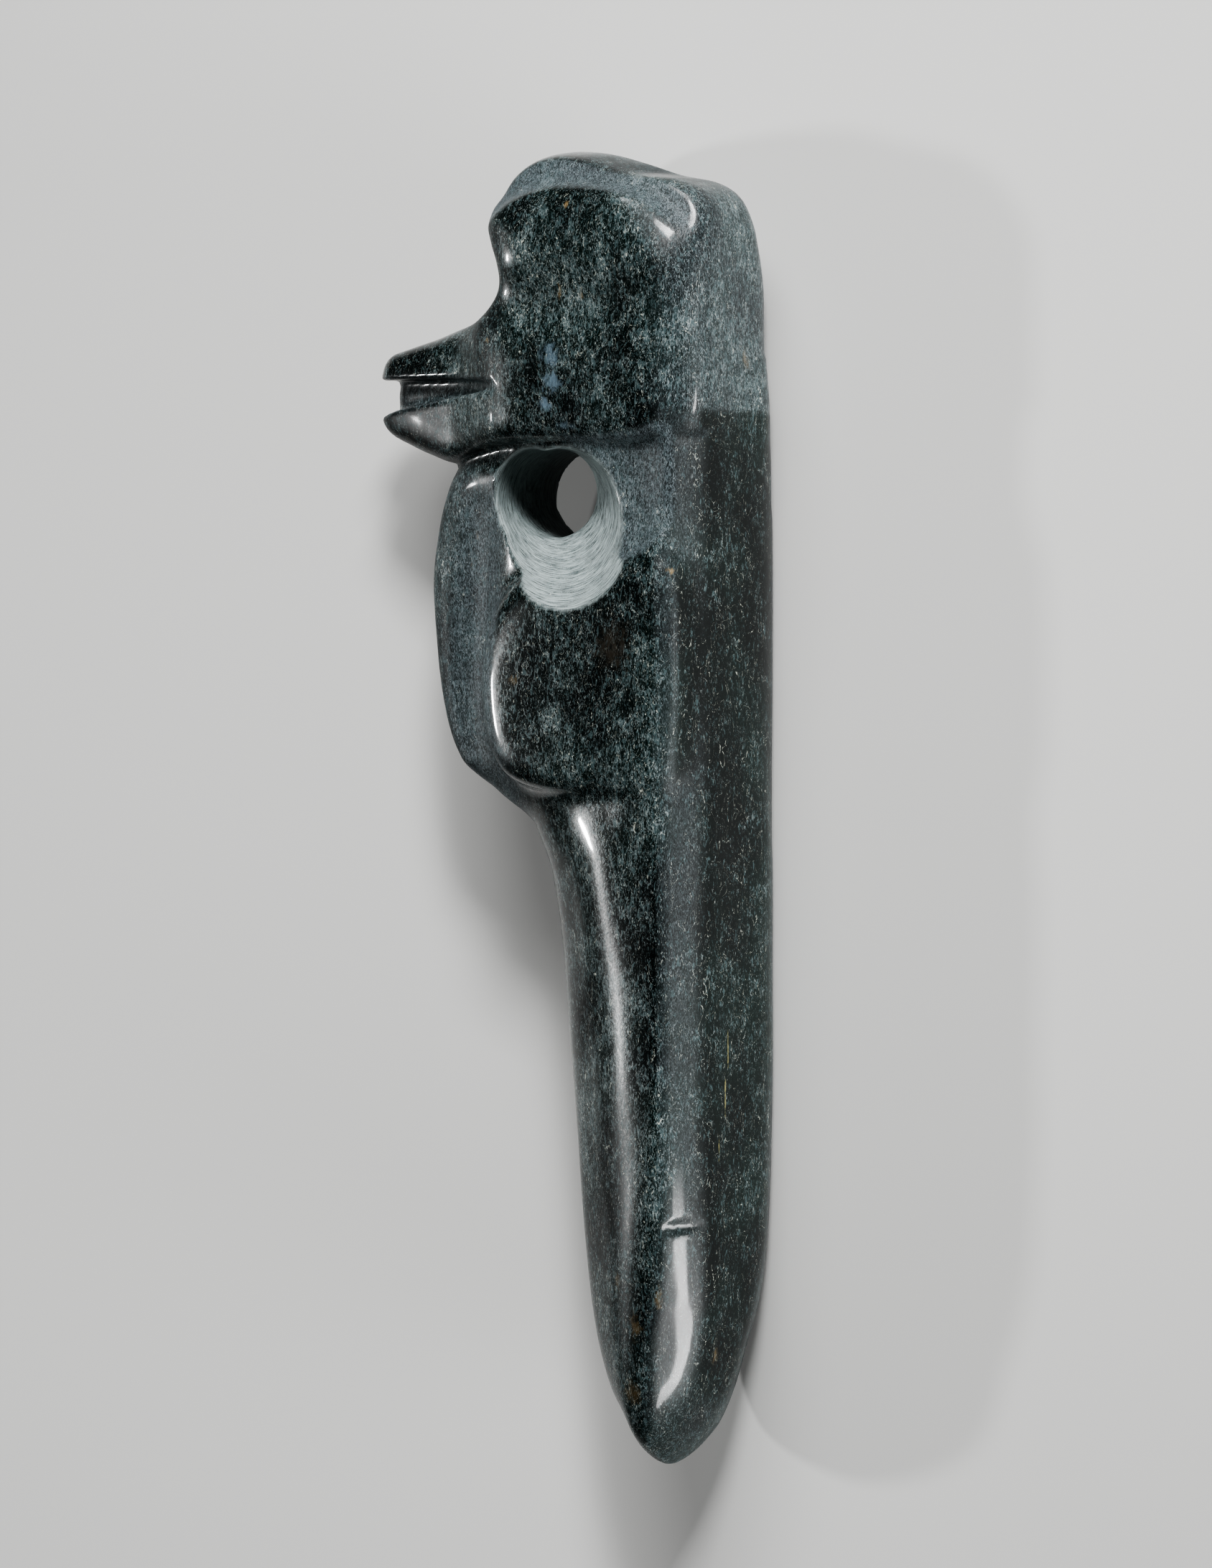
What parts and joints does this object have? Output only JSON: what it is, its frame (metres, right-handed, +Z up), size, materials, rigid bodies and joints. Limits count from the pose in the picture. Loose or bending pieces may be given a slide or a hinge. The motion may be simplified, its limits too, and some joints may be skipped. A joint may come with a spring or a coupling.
{
  "type": "beaked bird jade pendant",
  "caption": "Carved jade bird pendant: a beaked and crested head with wings over a polished celt blade, drilled from side to side at the neck for a cord.",
  "frame": {"origin": "middle of the pendant's outline, on the surface that it lies on", "axes": "the pendant lies on its far side: +Y runs from the cutting edge to the crest, -X is where the beak points, +X is the flat back, +Z is up, out of the near side"},
  "size_m": [0.0316, 0.1, 0.0144],
  "materials": {
    "jade": "polished dark green jade with fibrous blue-green flecks, matte in its grooves and hole"
  },
  "bodies": {
    "root": {"bird_pendant": "jade"}
  },
  "joints": []
}
